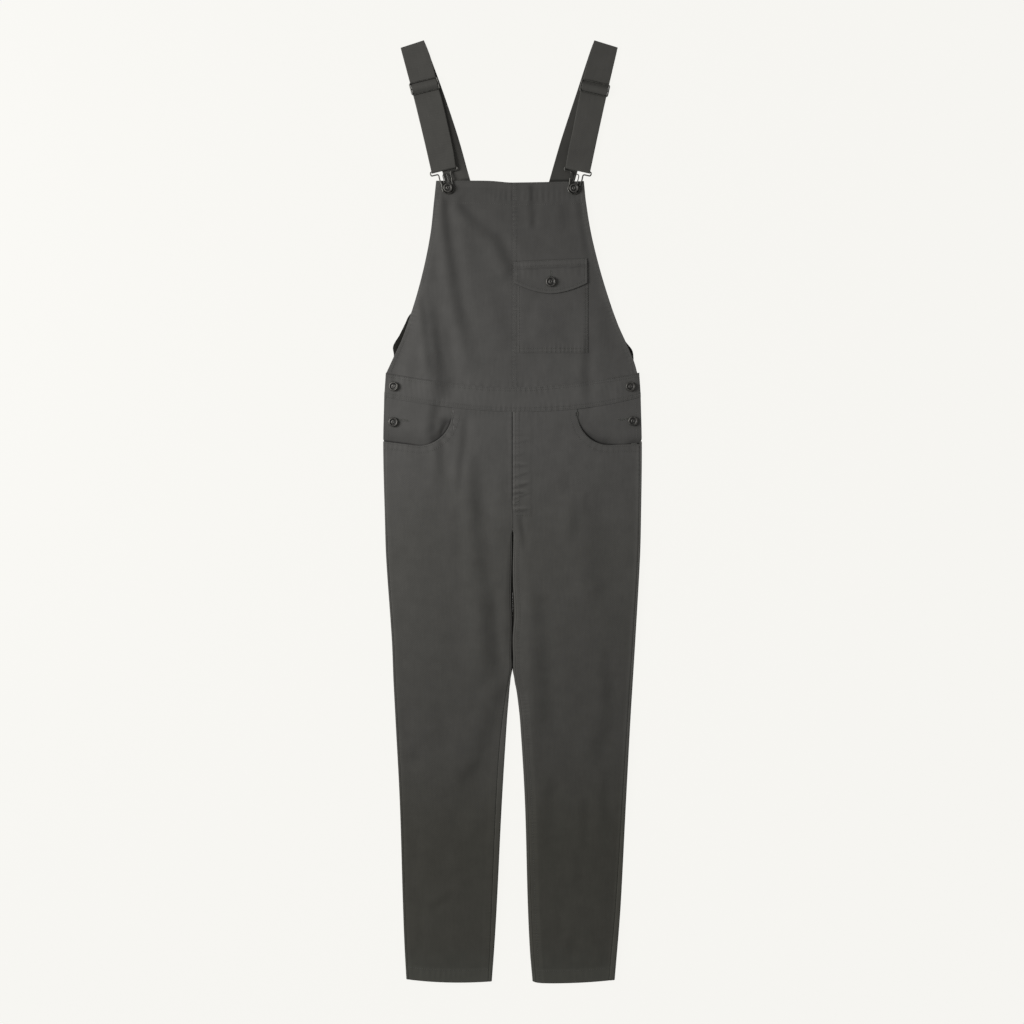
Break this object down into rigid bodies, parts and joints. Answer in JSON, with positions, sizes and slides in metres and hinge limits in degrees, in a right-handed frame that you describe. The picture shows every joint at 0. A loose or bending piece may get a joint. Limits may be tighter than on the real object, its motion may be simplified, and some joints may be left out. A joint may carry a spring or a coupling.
{
  "type": "bib-and-brace dungarees",
  "caption": "Cotton twill dungarees laid flat on their back, with a bib, a flapped chest pocket, scooped hip pockets, tapered legs and adjustable straps clipped to bib buttons.",
  "frame": {"origin": "on the surface that the garment lies on, under the middle of its length and width", "axes": "+Y from the hems to the shoulder folds, +Z out of the front, +X to the right as seen from the front"},
  "size_m": [0.4138, 1.5089, 0.0124],
  "materials": {
    "twill": "matt cotton twill, dark warm grey",
    "twill_back": "matt cotton twill, dark warm grey",
    "strap_twill": "matt folded cotton twill strap",
    "dark_metal": "blackened satin wire",
    "button_metal": "blackened satin shank button"
  },
  "bodies": {
    "root": {"bib_left": "twill", "bib_right": "twill", "waistband_front": "twill", "front_leg_left": "twill", "front_leg_right": "twill", "hip_facing_left": "twill", "hip_facing_right": "twill", "chest_pocket": "twill", "pocket_flap": "twill", "back_bib": "twill_back", "waistband_back": "twill_back", "back_leg_left": "twill_back", "back_leg_right": "twill_back", "strap_left": "strap_twill", "strap_right": "strap_twill", "slider_left": "dark_metal", "slider_right": "dark_metal", "hook_left": "dark_metal", "hook_right": "dark_metal", "button_bib_left": "button_metal", "button_bib_right": "button_metal", "button_flap": "button_metal", "button_side_upper_left": "button_metal", "button_side_upper_right": "button_metal", "button_side_lower_left": "button_metal", "button_side_lower_right": "button_metal"}
  },
  "joints": []
}
